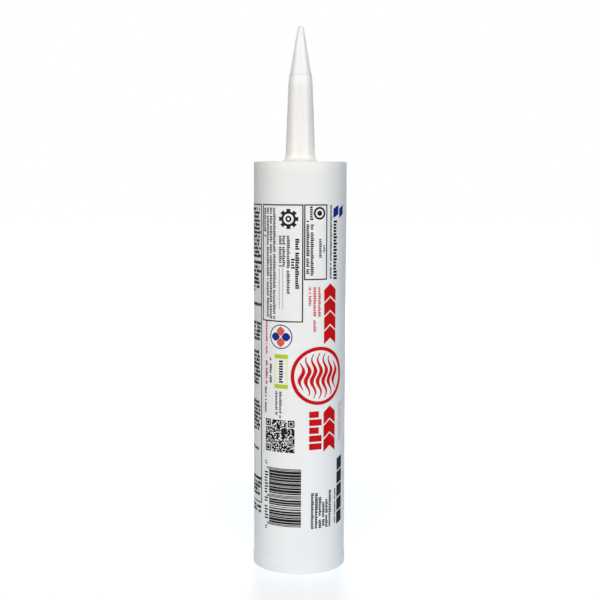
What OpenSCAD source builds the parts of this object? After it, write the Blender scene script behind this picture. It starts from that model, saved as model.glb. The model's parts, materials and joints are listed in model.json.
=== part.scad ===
// Sealant cartridge for a caulking gun: a barrel moulded in one with its nozzle, a plunger and the contents.
// It stands on its open rear rim at z = 0, with its axis along +Z and the nozzle up.

/* [Barrel] */
// Outside diameter of the barrel
barrel_od = 49; // [40:0.5:60]
// Length from the rear rim to the face of the shoulder
barrel_length = 216; // [120:1:320]
// Thickness of the barrel's wall
barrel_wall = 1.3; // [0.9:0.1:2]
// Thickness of the shoulder that closes the front end
shoulder_wall = 1.8; // [1.2:0.1:3]
// Radius on the outer edge of the shoulder
shoulder_round = 0.6; // [0.2:0.1:1]
// Radius in the corner between the bore and the shoulder
bore_fillet = 1.2; // [0.4:0.1:2]

/* [Rear rim] */
// How far the rear rim stands out of the barrel's radius, inside and outside
rim_flare = 0.3; // [0.1:0.05:0.6]
// Straight length of the flared rim
rim_length = 5; // [3:0.5:8]
// Length of the cone that leads from the flared rim into the barrel
rim_blend = 3; // [1:0.5:5]
// Radius on the inner and outer edges of the rim
rim_round = 0.4; // [0.1:0.05:0.4]

/* [Nozzle] */
// Length of the nozzle above the shoulder
nozzle_length = 70; // [50:1:110]
// Diameter of the nozzle where it meets the shoulder
foot_d = 15.9; // [14:0.1:22]
// Diameter of the knee, where the slim shaft turns into the tip cone
knee_d = 12.6; // [9:0.1:13.5]
// Length of the tip cone above the knee
tip_length = 27.8; // [20:0.1:38]
// Diameter of the flat at the tip
tip_d = 2.9; // [2:0.1:4]
// Radius on the edge of that flat
tip_round = 1; // [0.1:0.1:1]
// Solid length at the closed tip, which is cut off before use
tip_plug = 4; // [3:0.5:10]
// Diameter of the nozzle's bore where it ends below the closed tip
tip_bore_d = 1.6; // [0.8:0.1:2]
// Thickness of the nozzle's wall at the foot and at the knee
nozzle_wall = 1.2; // [0.8:0.1:1.6]
// Radius of the flare at the foot of the nozzle
foot_fillet = 3.5; // [1:0.5:6]
// Radius on the mouth of the nozzle's bore inside the shoulder
mouth_round = 3; // [0.5:0.5:4]
// Radius that blends the shaft into the tip cone
knee_blend = 50; // [10:5:80]
// Height of the fine moulding step above the end of that blend
ring_rise = 0.5; // [0.2:0.1:3]
// Width of the fine moulding step
ring_step = 0.12; // [0.05:0.01:0.3]

/* [Plunger] */
// Distance from the end of the rim's cone to the rear edge of the plunger
plunger_inset = 0.5; // [0:0.5:30]
// Length of the plunger
plunger_length = 14; // [11:0.5:25]
// Thickness of the plunger's skirt at the waist between its lips
skirt_wall = 1.4; // [1:0.1:2]
// Thickness of the plunger's front web
front_web = 2.2; // [1.6:0.1:3]
// Length of each sealing lip along the axis
lip_length = 2.2; // [1.5:0.1:3]
// Depth of the waist between the two lips
waist_depth = 0.7; // [0.3:0.1:1.2]
// Thickness of the front lip's free edge
lip_edge = 0.8; // [0.5:0.1:1.2]
// Width of the groove that frees the front lip
groove_width = 1.3; // [0.8:0.1:2]
// Thickness of the web that is left under that groove
groove_floor = 0.9; // [0.6:0.1:1.2]
// Radius inside the cup between the skirt and the web
cup_fillet = 1.5; // [0.5:0.1:2.5]
// Number of ribs that carry the gun's pusher
rib_count = 8; // [4:1:12]
// Thickness of each rib
rib_wall = 1.2; // [0.8:0.1:2]
// Distance from the rear edge of the skirt to the rear edge of the ribs
rib_recess = 1; // [0.5:0.1:3]
// Outside diameter of the hub that the ribs run out from
hub_d = 12; // [9:0.5:18]
// Thickness of the hub's wall
hub_wall = 1.4; // [1:0.1:2]
// Draft on the inside of the cup and the hub, in degrees
draft = 1; // [0.5:0.25:2]

/* [Fits] */
// Radial clearance between the plunger's lips and the bore
lip_clearance = 0.1; // [0.05:0.01:0.3]
// Gap between the sealant and the barrel
sealant_clearance = 0.1; // [0.05:0.01:0.3]
// Gap between the sealant and the plunger
sealant_gap = 0.3; // [0.1:0.05:0.5]

/* [Hidden] */
$fn = 128;
// Length by which a cut runs past the face that it opens
cut_past = 1;

barrel_r = barrel_od / 2;
bore_r = barrel_r - barrel_wall;
bore_top = barrel_length - shoulder_wall;
rim_top = rim_length + rim_blend;

tip_z = barrel_length + nozzle_length;
knee_z = tip_z - tip_length;
// Radius lost for each millimetre of height along the shaft and along the tip cone
shaft_slope = (foot_d - knee_d) / 2 / (nozzle_length - tip_length);
cone_slope = (knee_d / 2 - ring_step - tip_d / 2) / tip_length;
knee_reach = knee_blend * tan((atan(cone_slope) - atan(shaft_slope)) / 2);
ring_z = knee_z + knee_reach + ring_rise;
ring_r = knee_d / 2 - cone_slope * (ring_z - knee_z);

plunger_rear = rim_top + plunger_inset;
plunger_front = plunger_rear + plunger_length;
web_rear = plunger_front - front_web;
rib_rear = plunger_rear + rib_recess;
lip_r = bore_r - lip_clearance;
waist_r = lip_r - waist_depth;
cup_r = waist_r - skirt_wall;
hub_bore_r = hub_d / 2 - hub_wall;

sealant_r = bore_r - sealant_clearance;
sealant_rear = plunger_front + sealant_gap;
sealant_front = bore_top - sealant_clearance;

function unit(v) = v / norm(v);

// Area between the corner of an outline and the round that is tangent to its sides towards a and b
module corner_area(corner, a, b, radius) {
    u = unit(a - corner);
    v = unit(b - corner);
    half_angle = acos(u * v) / 2;
    reach = radius / tan(half_angle);
    difference() {
        polygon([corner, corner + u * reach, corner + v * reach]);
        translate(corner + unit(u + v) * radius / sin(half_angle)) circle(radius);
    }
}

// Half section of the space that the moulding's outside encloses
module outer_section() {
    rim = [barrel_r + rim_flare, 0];
    rim_end = [barrel_r + rim_flare, rim_length];
    blend_end = [barrel_r, rim_top];
    shoulder = [barrel_r, barrel_length];
    foot = [foot_d / 2, barrel_length];
    knee = [knee_d / 2, knee_z];
    ring = [ring_r, ring_z];
    ring_foot = [ring_r - ring_step, ring_z];
    tip = [tip_d / 2, tip_z];
    axis_top = [0, tip_z];
    difference() {
        union() {
            polygon([[0, 0], rim, rim_end, blend_end, shoulder, foot, knee, ring, ring_foot, tip, axis_top]);
            corner_area(foot, shoulder, knee, foot_fillet);
        }
        corner_area(rim, [0, 0], rim_end, rim_round);
        corner_area(shoulder, blend_end, foot, shoulder_round);
        corner_area(knee, foot, ring, knee_blend);
        corner_area(tip, ring_foot, axis_top, tip_round);
    }
}

// Half section of the space inside the moulding, from the open rear end to the blind end of the nozzle
module inner_section() {
    rim = [bore_r + rim_flare, 0];
    rim_end = [bore_r + rim_flare, rim_length];
    blend_end = [bore_r, rim_top];
    corner = [bore_r, bore_top];
    mouth = [foot_d / 2 - nozzle_wall, bore_top];
    knee = [knee_d / 2 - nozzle_wall, knee_z];
    blind_z = tip_z - tip_plug;
    difference() {
        union() {
            polygon([
                [0, -cut_past], [rim.x, -cut_past], rim_end, blend_end, corner,
                mouth, knee, [tip_bore_d / 2, blind_z], [0, blind_z],
            ]);
            corner_area(rim, rim_end, [barrel_r + rim_flare, 0], rim_round);
            corner_area(mouth, corner, knee, mouth_round);
        }
        corner_area(corner, blend_end, mouth, bore_fillet);
    }
}

// Half section of the plunger without its ribs and hub
module plunger_section() {
    groove_outer = lip_r - lip_edge;
    groove_inner = groove_outer - groove_width;
    cup_rear = [cup_r + tan(draft) * (web_rear - plunger_rear), plunger_rear];
    cup_corner = [cup_r, web_rear];
    union() {
        polygon([
            [0, web_rear], cup_corner, cup_rear, [lip_r, plunger_rear],
            [lip_r, plunger_rear + lip_length], [waist_r, plunger_rear + lip_length + waist_depth],
            [waist_r, plunger_front - lip_length - waist_depth], [lip_r, plunger_front - lip_length],
            [lip_r, plunger_front], [groove_outer, plunger_front],
            [groove_inner, web_rear + groove_floor], [groove_inner, plunger_front], [0, plunger_front],
        ]);
        corner_area(cup_corner, [0, web_rear], cup_rear, cup_fillet);
    }
}

// Half section of the hub in the middle of the cup
module hub_section() {
    hub_length = web_rear - rib_rear;
    polygon([
        [hub_bore_r, web_rear], [hub_bore_r + tan(draft) * hub_length, rib_rear],
        [hub_d / 2, rib_rear], [hub_d / 2, web_rear],
    ]);
}

// One rib, standing on the web and running from the hub into the skirt
module rib() {
    rib_start = hub_d / 2 - hub_wall / 2;
    rib_end = cup_r + skirt_wall / 2;
    translate([rib_start, -rib_wall / 2, rib_rear])
    cube([rib_end - rib_start, rib_wall, web_rear - rib_rear]);
}

module barrel() {
    color([0.96, 0.96, 0.95])
    rotate_extrude()
    difference() {
        outer_section();
        inner_section();
    }
}

module plunger() {
    color([0.91, 0.92, 0.9])
    union() {
        rotate_extrude() plunger_section();
        rotate_extrude() hub_section();
        for (i = [0 : rib_count - 1])
            rotate(i * 360 / rib_count) rib();
    }
}

module sealant() {
    rear = [sealant_r, sealant_rear];
    front = [sealant_r, sealant_front];
    axis_front = [0, sealant_front];
    color([0.78, 0.79, 0.79])
    rotate_extrude()
    difference() {
        polygon([[0, sealant_rear], rear, front, axis_front]);
        corner_area(front, rear, axis_front, bore_fillet);
    }
}

barrel();
plunger();
sealant();
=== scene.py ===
"""Looks of a sealant cartridge: white moulding with a nozzle, ribbed plunger, grey paste, plain print."""

import json
import logging
import math
import random
from collections.abc import Callable, Iterable, Mapping, Sequence
from dataclasses import dataclass, field
from enum import Enum

import bmesh
import bpy
from mathutils import Matrix, Vector


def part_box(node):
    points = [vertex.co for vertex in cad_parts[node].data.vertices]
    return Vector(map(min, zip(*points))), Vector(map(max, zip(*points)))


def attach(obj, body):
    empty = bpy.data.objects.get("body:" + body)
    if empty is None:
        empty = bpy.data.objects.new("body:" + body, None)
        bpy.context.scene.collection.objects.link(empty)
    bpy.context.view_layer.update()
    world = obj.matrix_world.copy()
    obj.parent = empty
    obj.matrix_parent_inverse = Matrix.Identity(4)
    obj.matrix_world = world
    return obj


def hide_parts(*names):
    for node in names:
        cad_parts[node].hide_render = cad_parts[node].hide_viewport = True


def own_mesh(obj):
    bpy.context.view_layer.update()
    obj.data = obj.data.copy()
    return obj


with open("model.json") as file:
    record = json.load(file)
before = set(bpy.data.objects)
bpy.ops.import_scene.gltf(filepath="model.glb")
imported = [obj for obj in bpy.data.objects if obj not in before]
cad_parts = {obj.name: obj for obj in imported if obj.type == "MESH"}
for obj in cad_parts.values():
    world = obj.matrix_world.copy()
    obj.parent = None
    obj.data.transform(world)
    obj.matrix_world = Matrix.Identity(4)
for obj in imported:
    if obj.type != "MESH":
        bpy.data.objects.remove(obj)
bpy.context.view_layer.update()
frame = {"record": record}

MM = 0.001
# Merge distances in metres: for the walls of drawn shapes, and for the seam and the axis of turned ones.
WELD, SEAM = 1e-7, 1e-6
WHITE = (1.0, 1.0, 1.0, 1.0)
MOUNTS = {mount["name"]: mount for mount in frame["record"]["mounts"]}
LOG = logging.getLogger("cartridge")

Colour = tuple[float, float, float]
Flat = tuple[float, float]
Span = tuple[float, float]
Socket = bpy.types.NodeSocket
Feeds = Mapping[str | int, object]


def opaque(colour: Colour) -> tuple[float, float, float, float]:
    """Gives a colour in the form that a node takes."""
    return (*colour, 1.0)


class NodeSheet:
    """A node tree in the making, with short ways to add nodes and join them."""

    def __init__(self, tree: bpy.types.NodeTree) -> None:
        """Starts on an existing tree."""
        self.tree = tree

    def add(self, kind: str, feeds: Feeds | None = None, **settings: object) -> bpy.types.Node:
        """Adds a node.

        Args:
            kind: Blender's name of the node type.
            feeds: for each input, by name or number, the socket that feeds it or its plain value.
            settings: properties of the node itself.

        Returns:
            The new node.
        """
        node = self.tree.nodes.new(kind)
        for name, value in settings.items():
            setattr(node, name, value)
        for key, value in (feeds or {}).items():
            socket = self.find(node.inputs, key)
            if isinstance(value, Socket):
                self.tree.links.new(value, socket)
            else:
                socket.default_value = value
        return node

    def out(self, kind: str, feeds: Feeds | None = None, key: str | int = 0, **settings: object) -> Socket:
        """Adds a node as add does, and gives its output of that name or number."""
        return self.find(self.add(kind, feeds, **settings).outputs, key)

    def math(self, operation: str, *terms: object) -> Socket:
        """Adds a Math node of that operation, on sockets or numbers."""
        return self.out("ShaderNodeMath", dict(enumerate(terms)), operation=operation)

    def vector(self, **parts: object) -> Socket:
        """Adds a vector of the parts X, Y and Z that are given."""
        return self.out("ShaderNodeCombineXYZ", parts)

    def parts(self, vector: Socket) -> Mapping[str, Socket]:
        """Gives the parts X, Y and Z of a vector."""
        return self.add("ShaderNodeSeparateXYZ", {0: vector}).outputs

    @staticmethod
    def find(sockets: Iterable[Socket], key: str | int) -> Socket:
        """Finds a socket in use by its name, or by its number among those in use."""
        used = [socket for socket in sockets if socket.enabled]
        return used[key] if isinstance(key, int) else next(s for s in used if s.name == key)


class ShapeSheet(NodeSheet):
    """A geometry node tree in the making."""

    def joined(self, *shapes: Socket) -> Socket:
        """Joins geometries.

        Args:
            shapes: the geometries, in order.

        Returns:
            The joined geometry.
        """
        node = self.add("GeometryNodeJoinGeometry")
        for shape in shapes:
            self.tree.links.new(shape, node.inputs[0])
        return node.outputs[0]

    def merged(self, shape: Socket, distance: float) -> Socket:
        """Merges the points of a geometry that lie within a distance in metres."""
        return self.out("GeometryNodeMergeByDistance", {"Geometry": shape, "Distance": distance})

    def pulled(self, flat: Socket, offset: Socket) -> Socket:
        """Pulls a flat mesh into a solid, whose walls are still to be merged with its end.

        Args:
            flat: the mesh, with faces that look the way it is pulled.
            offset: the way and length of the pull.

        Returns:
            The solid.
        """
        feeds = {"Mesh": flat, "Offset": offset, "Offset Scale": 1.0, "Individual": False}
        end = self.out("GeometryNodeFlipFaces", {"Mesh": flat})
        return self.joined(self.out("GeometryNodeExtrudeMesh", feeds), end)

    def chance(self, share: Socket, seed: Socket) -> Socket:
        """Draws for each point whether it is among a share of them."""
        feeds = {"Probability": share, "Seed": seed}
        return self.out("FunctionNodeRandomValue", feeds, data_type="BOOLEAN")


class Recipe:
    """A geometry node tree with named inputs, and the way to run it on a mesh."""

    SOCKETS = {float: "NodeSocketFloat", int: "NodeSocketInt", bpy.types.Material: "NodeSocketMaterial"}

    def __init__(self, name: str, inputs: Mapping[str, type]) -> None:
        """Makes the tree.

        Args:
            name: name of the tree.
            inputs: type of each named input, beside the source mesh and the material.
        """
        self.tree = bpy.data.node_groups.new(name, "GeometryNodeTree")
        self.sheet = ShapeSheet(self.tree)
        face = self.tree.interface
        face.new_socket("Source", in_out="INPUT", socket_type="NodeSocketGeometry")
        self.keys = {
            label: face.new_socket(label, in_out="INPUT", socket_type=self.SOCKETS[kind]).identifier
            for label, kind in {**inputs, "Material": bpy.types.Material}.items()
        }
        face.new_socket("Result", in_out="OUTPUT", socket_type="NodeSocketGeometry")
        self.given = self.tree.nodes.new("NodeGroupInput").outputs

    def close(self, shape: Socket) -> None:
        """Ends the tree: the shape is realised, gets the material and leaves the tree.

        Args:
            shape: the finished geometry.
        """
        real = self.sheet.out("GeometryNodeRealizeInstances", {0: shape})
        feeds = {"Geometry": real, "Material": self.given["Material"]}
        self.sheet.add("NodeGroupOutput", {0: self.sheet.out("GeometryNodeSetMaterial", feeds)})

    def run(self, name: str, source: bpy.types.Mesh, values: Mapping[str, object]) -> bpy.types.Object:
        """Runs the tree on a mesh and keeps the result as a plain mesh.

        Args:
            name: name of the finished piece.
            source: the mesh that the tree starts from.
            values: value of each named input.

        Returns:
            The finished object, at the origin.
        """
        piece = bpy.data.objects.new(name, source)
        bpy.context.scene.collection.objects.link(piece)
        modifier = piece.modifiers.new(self.tree.name, "NODES")
        modifier.node_group = self.tree
        for label, value in values.items():
            modifier[self.keys[label]] = value
        graph = bpy.context.evaluated_depsgraph_get()
        plain = bpy.data.meshes.new_from_object(piece.evaluated_get(graph), depsgraph=graph)
        piece.modifiers.clear()
        piece.data = plain
        plain.name = name
        bpy.data.meshes.remove(source)
        return piece


@dataclass(frozen=True)
class Corner:
    """A corner of a turned section, in millimetres, with the radius that rounds it."""

    radius: float
    height: float
    fillet: float = 0.0

    @property
    def point(self) -> Vector:
        """The corner in the plane of the section."""
        return Vector((self.radius, self.height))


@dataclass(frozen=True)
class Section:
    """Half section to turn about the axis, drawn so that the solid lies on the left of the line."""

    corners: tuple[Corner, ...]
    segments: int
    sharp_angle: float = 50.0
    arc_step: float = 9.0
    least_steps: int = 3
    longest: float = 12.0
    hold: float = 0.15

    def rounded(self, number: int) -> list[Vector]:
        """Rounds one corner.

        Args:
            number: place of the corner in the section.

        Returns:
            Points along its fillet, or the corner alone where it has none.
        """
        corner = self.corners[number]
        if not corner.fillet:
            return [corner.point]
        back = (self.corners[number - 1].point - corner.point).normalized()
        ahead = (self.corners[number + 1].point - corner.point).normalized()
        half = back.angle(ahead) / 2
        centre = corner.point + (back + ahead).normalized() * corner.fillet / math.sin(half)
        start = corner.point + back * corner.fillet / math.tan(half) - centre
        sweep = math.copysign(math.pi - 2 * half, back.x * ahead.y - back.y * ahead.x)
        steps = max(self.least_steps, math.ceil(abs(sweep) / math.radians(self.arc_step)))
        return [centre + Matrix.Rotation(-sweep * i / steps, 2) @ start for i in range(steps + 1)]

    def straight(self, start: Vector, end: Vector) -> list[Vector]:
        """Divides a straight run, with a point close to each end to hold the shading there.

        Args:
            start: first end of the run.
            end: last end of the run.

        Returns:
            The points between the ends.
        """
        length = (end - start).length
        if length < 3 * self.hold:
            return []
        steps = max(1, math.ceil((length - 2 * self.hold) / self.longest))
        stretch = (length - 2 * self.hold) / steps
        return [start.lerp(end, (self.hold + stretch * i) / length) for i in range(steps + 1)]

    def mesh(self, name: str) -> bpy.types.Mesh:
        """Draws the section.

        Args:
            name: name of the mesh.

        Returns:
            A mesh of loose points in the plane of X and Z, in metres and in order.
        """
        points = self.rounded(0)
        for number in range(1, len(self.corners)):
            arc = self.rounded(number)
            points += self.straight(points[-1], arc[0]) + arc
        mesh = bpy.data.meshes.new(name)
        mesh.from_pydata([(p.x * MM, 0.0, p.y * MM) for p in points], [], [])
        return mesh

    def turned(self, recipe: Recipe, name: str, values: Mapping[str, object]) -> bpy.types.Object:
        """Turns the section into a piece by a turning recipe, with values for the recipe's other inputs."""
        turning = {"Segments": self.segments, "Sharp Angle": math.radians(self.sharp_angle)}
        return recipe.run(name, self.mesh(f"{name} section"), {**turning, **values})


def turned_shape(recipe: Recipe) -> Socket:
    """Adds the nodes that turn the recipe's source section about the axis.

    Args:
        recipe: recipe with the inputs Segments and Sharp Angle.

    Returns:
        The closed, smoothly shaded surface.
    """
    sheet, given = recipe.sheet, recipe.given
    source = {"Geometry": given["Source"]}
    count = sheet.out("GeometryNodeAttributeDomainSize", source, "Point Count", component="MESH")
    columns = sheet.math("ADD", given["Segments"], 1)
    grid = sheet.out("GeometryNodeMeshGrid", {"Vertices X": columns, "Vertices Y": count}, "Mesh")
    index = sheet.out("GeometryNodeInputIndex")
    column = sheet.math("FLOOR", sheet.math("DIVIDE", index, count))
    angle = sheet.math("DIVIDE", sheet.math("MULTIPLY", column, math.tau), given["Segments"])
    row = {"Value": sheet.out("GeometryNodeInputPosition"), "Index": sheet.math("MODULO", index, count)}
    drawn = sheet.out("GeometryNodeSampleIndex", {**source, **row}, data_type="FLOAT_VECTOR")
    turned = sheet.out("ShaderNodeVectorRotate", {"Vector": drawn, "Angle": angle}, rotation_type="Z_AXIS")
    placed = sheet.out("GeometryNodeSetPosition", {"Geometry": grid, "Position": turned})
    closed = {0: sheet.merged(placed, SEAM), "Shade Smooth": True}
    smooth = sheet.out("GeometryNodeSetShadeSmooth", closed, domain="FACE")
    bend = sheet.out("GeometryNodeInputMeshEdgeAngle", key="Unsigned Angle")
    soft = sheet.out("FunctionNodeCompare", {"A": bend, "B": given["Sharp Angle"]}, operation="LESS_THAN")
    return sheet.out("GeometryNodeSetShadeSmooth", {0: smooth, "Shade Smooth": soft}, domain="EDGE")


def turning_recipe() -> Recipe:
    """Makes the recipe of a plain turned piece.

    Returns:
        The recipe, with the inputs Segments and Sharp Angle.
    """
    recipe = Recipe("turned piece", {"Segments": int, "Sharp Angle": float})
    recipe.close(turned_shape(recipe))
    return recipe


def ribbed_recipe() -> Recipe:
    """Makes the recipe of a turned cup with ribs that run out from its hub.

    Returns:
        The recipe, with the inputs of a turned piece and the ribs' sizes.
    """
    sizes = ("Rib Start", "Rib Length", "Rib Wall", "Rib Height", "Rib Rear", "Rib Round")
    counts = {"Segments": int, "Sharp Angle": float, "Rib Count": int}
    recipe = Recipe("ribbed cup", {**counts, **dict.fromkeys(sizes, float)})
    sheet, given = recipe.sheet, recipe.given
    corner_points = 4
    level = (0.0, math.pi / 2, 0.0)
    across = {"Width": given["Rib Height"], "Height": given["Rib Wall"]}
    outline = sheet.out("GeometryNodeCurvePrimitiveQuadrilateral", across)
    fillet = {"Curve": outline, "Radius": given["Rib Round"], "Count": corner_points}
    rounded = sheet.out("GeometryNodeFilletCurve", fillet, mode="POLY")
    end = sheet.out("GeometryNodeFillCurve", {"Curve": rounded}, mode="NGONS")
    rib = sheet.merged(sheet.pulled(end, sheet.vector(Z=given["Rib Length"])), WELD)
    middle = sheet.math("ADD", given["Rib Rear"], sheet.math("MULTIPLY", given["Rib Height"], 0.5))
    place = sheet.vector(X=given["Rib Start"], Z=middle)
    laid = sheet.out("GeometryNodeTransform", {"Geometry": rib, "Translation": place, "Rotation": level})
    seats = sheet.out("GeometryNodePoints", {"Count": given["Rib Count"]})
    share = sheet.math("DIVIDE", sheet.out("GeometryNodeInputIndex"), given["Rib Count"])
    turn = sheet.vector(Z=sheet.math("MULTIPLY", share, math.tau))
    ribs = sheet.out("GeometryNodeInstanceOnPoints", {"Points": seats, "Instance": laid, "Rotation": turn})
    recipe.close(sheet.joined(turned_shape(recipe), ribs))
    return recipe


def print_recipe() -> Recipe:
    """Makes the recipe that lays flat artwork round the barrel as thin ink.

    Faces of the source become fields of ink. Its loose edges become lines of small upright blocks in word
    groups, with the look of each line in the attributes line_height, line_stroke and line_gap.

    Returns:
        The recipe, with the inputs of the ink and of its lettering.
    """
    sizes = ("Barrel Radius", "Ink Height", "Ink Depth", "Letter Pitch", "Tall Share", "Low Height")
    recipe = Recipe("print on the barrel", {**dict.fromkeys(sizes, float), "Seed": int})
    sheet, given = recipe.sheet, recipe.given
    block_rows = 4
    thick = sheet.math("ADD", given["Ink Height"], given["Ink Depth"])
    sunk = sheet.vector(Y=given["Ink Depth"])
    source = sheet.out("GeometryNodeSetPosition", {"Geometry": given["Source"], "Offset": sunk})
    height, stroke, gap_share = (
        sheet.out("GeometryNodeInputNamedAttribute", {"Name": name}, "Attribute", data_type="FLOAT")
        for name in FlatArt.STYLE
    )
    lined = sheet.out("FunctionNodeCompare", {"A": height, "B": 0.0}, operation="GREATER_THAN")
    both = {"Geometry": source, "Selection": lined}
    parted = sheet.add("GeometryNodeSeparateGeometry", both, domain="POINT").outputs
    fields = sheet.pulled(parted["Inverted"], sheet.vector(Y=sheet.math("MULTIPLY", thick, -1.0)))

    curves = sheet.out("GeometryNodeMeshToCurve", {"Mesh": parted["Selection"]})
    pitch = sheet.math("MULTIPLY", height, given["Letter Pitch"])
    spaced = sheet.out("GeometryNodeResampleCurve", {"Curve": curves, "Length": pitch}, mode="LENGTH")
    gap = sheet.chance(gap_share, given["Seed"])
    kept = sheet.out("FunctionNodeBooleanMath", {0: gap}, operation="NOT")
    tall = sheet.chance(given["Tall Share"], sheet.math("ADD", given["Seed"], 1))
    heights = {"Switch": tall, "False": given["Low Height"], "True": 1.0}
    share = sheet.out("GeometryNodeSwitch", heights, input_type="FLOAT")
    wide = sheet.math("MULTIPLY", pitch, stroke)
    size = sheet.vector(X=wide, Y=thick, Z=sheet.math("MULTIPLY", height, share))
    run = sheet.parts(sheet.out("GeometryNodeInputTangent"))
    turn = sheet.vector(Y=sheet.math("ARCTAN2", sheet.math("MULTIPLY", run["Z"], -1.0), run["X"]))
    cube = sheet.out("GeometryNodeMeshCube", {"Vertices Z": block_rows}, "Mesh")
    block = sheet.out("GeometryNodeTransform", {"Geometry": cube, "Translation": (0.0, -0.5, 0.5)})
    blocks = sheet.out(
        "GeometryNodeInstanceOnPoints",
        {"Points": spaced, "Selection": kept, "Instance": block, "Rotation": turn, "Scale": size},
    )
    letters = sheet.out("GeometryNodeRealizeInstances", {0: blocks})

    closed = sheet.merged(sheet.joined(fields, letters), WELD)
    here = sheet.parts(sheet.out("GeometryNodeInputPosition"))
    reach = sheet.math("SUBTRACT", given["Barrel Radius"], here["Y"])
    angle = sheet.math("DIVIDE", here["X"], given["Barrel Radius"])
    aside = sheet.math("MULTIPLY", reach, sheet.math("SINE", angle))
    ahead = sheet.math("MULTIPLY", reach, sheet.math("COSINE", angle))
    wrapped = sheet.vector(X=aside, Y=sheet.math("MULTIPLY", ahead, -1.0), Z=here["Z"])
    recipe.close(sheet.out("GeometryNodeSetPosition", {"Geometry": closed, "Position": wrapped}))
    return recipe


class SurfaceSheet(NodeSheet):
    """The node tree of a fresh material, with patterns on Object coordinates."""

    def __init__(self, name: str) -> None:
        """Starts an empty material of that name."""
        self.material = bpy.data.materials.new(name)
        self.material.use_nodes = True
        self.material.node_tree.nodes.clear()
        super().__init__(self.material.node_tree)
        self.where = self.out("ShaderNodeTexCoord", key="Object")

    def noise(self, size_mm: float, detail: float = 2.0, where: Socket | None = None) -> Socket:
        """Adds a noise pattern.

        Args:
            size_mm: size of its features in millimetres.
            detail: number of finer layers.
            where: coordinates in metres, where they aren't the plain ones.

        Returns:
            Its strength from 0 to 1.
        """
        place = self.where if where is None else where
        feeds = {"Vector": place, "Scale": 1.0 / (size_mm * MM), "Detail": detail}
        return self.out("ShaderNodeTexNoise", feeds, "Fac")

    def spread(self, value: Socket, span: Span = (0.3, 0.7), low: float = 0.0, high: float = 1.0) -> Socket:
        """Maps a span of a pattern's strength onto the range from low to high, and holds it there."""
        feeds = {"Value": value, "From Min": span[0], "From Max": span[1], "To Min": low, "To Max": high}
        return self.out("ShaderNodeMapRange", feeds)

    def mixed(self, share: Socket, first: object, second: object, kind: str = "RGBA") -> Socket:
        """Mixes two colours, or two numbers of the kind FLOAT, by the share of the second one."""
        feeds = {"Factor": share, "A": first, "B": second}
        return self.out("ShaderNodeMix", feeds, "Result", data_type=kind)

    def bump(self, height: Socket, strength: float, depth_mm: float) -> Socket:
        """Adds the normal of a pattern that stands out by a depth in millimetres."""
        feeds = {"Height": height, "Strength": strength, "Distance": depth_mm * MM}
        return self.out("ShaderNodeBump", feeds, "Normal")

    def close(self, surface: Socket) -> bpy.types.Material:
        """Ends the tree with its surface and gives the material."""
        self.add("ShaderNodeOutputMaterial", {"Surface": surface})
        return self.material


@dataclass(frozen=True)
class MouldedPlastic:
    """Pale plastic: a little light goes in, fine grain breaks the gloss, faint rubs run along the axis."""

    CLOUD_MM, CLOUD_DETAIL = 45.0, 3.0
    RUB_MM, RUB_DETAIL, RUB_SPAN, RUB_STRETCH = 0.9, 4.0, (0.52, 0.72), (1.0, 1.0, 0.06)
    PATCH_MM, PATCH_DETAIL, PATCH_SPAN = 14.0, 3.0, (0.45, 0.65)
    GRAIN_DETAIL, GRAIN_STRENGTH = 3.0, 0.35
    GLOW_REACH = (1.0, 0.9, 0.8)

    name: str
    colour: Colour
    drift: Colour
    smooth: float
    rubbed: float
    grain_mm: float
    grain_depth_mm: float
    glow: float
    glow_mm: float
    gloss: float

    def tone(self, sheet: SurfaceSheet) -> Socket:
        """Adds the colour, which drifts a little in wide clouds."""
        cloud = sheet.spread(sheet.noise(self.CLOUD_MM, self.CLOUD_DETAIL))
        return sheet.mixed(cloud, opaque(self.colour), opaque(self.drift))

    def polish(self, sheet: SurfaceSheet) -> Socket:
        """Adds the roughness, which rises where faint rubs cross worn patches.

        Args:
            sheet: sheet of the material.

        Returns:
            The roughness.
        """
        along = sheet.out("ShaderNodeMapping", {"Vector": sheet.where, "Scale": self.RUB_STRETCH})
        rubs = sheet.spread(sheet.noise(self.RUB_MM, self.RUB_DETAIL, along), self.RUB_SPAN)
        patches = sheet.spread(sheet.noise(self.PATCH_MM, self.PATCH_DETAIL), self.PATCH_SPAN)
        wear = sheet.math("MULTIPLY", rubs, patches)
        return sheet.spread(wear, (0.0, 1.0), self.smooth, self.rubbed)

    def material(self) -> bpy.types.Material:
        """Makes the material.

        Returns:
            The node material.
        """
        sheet = SurfaceSheet(self.name)
        grain = sheet.noise(self.grain_mm, self.GRAIN_DETAIL)
        feeds = {
            "Base Color": self.tone(sheet),
            "Roughness": self.polish(sheet),
            "Normal": sheet.bump(grain, self.GRAIN_STRENGTH, self.grain_depth_mm),
            "Subsurface Weight": self.glow,
            "Subsurface Radius": self.GLOW_REACH,
            "Subsurface Scale": self.glow_mm * MM,
            "Specular IOR Level": self.gloss,
        }
        return sheet.close(sheet.out("ShaderNodeBsdfPrincipled", feeds))


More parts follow.
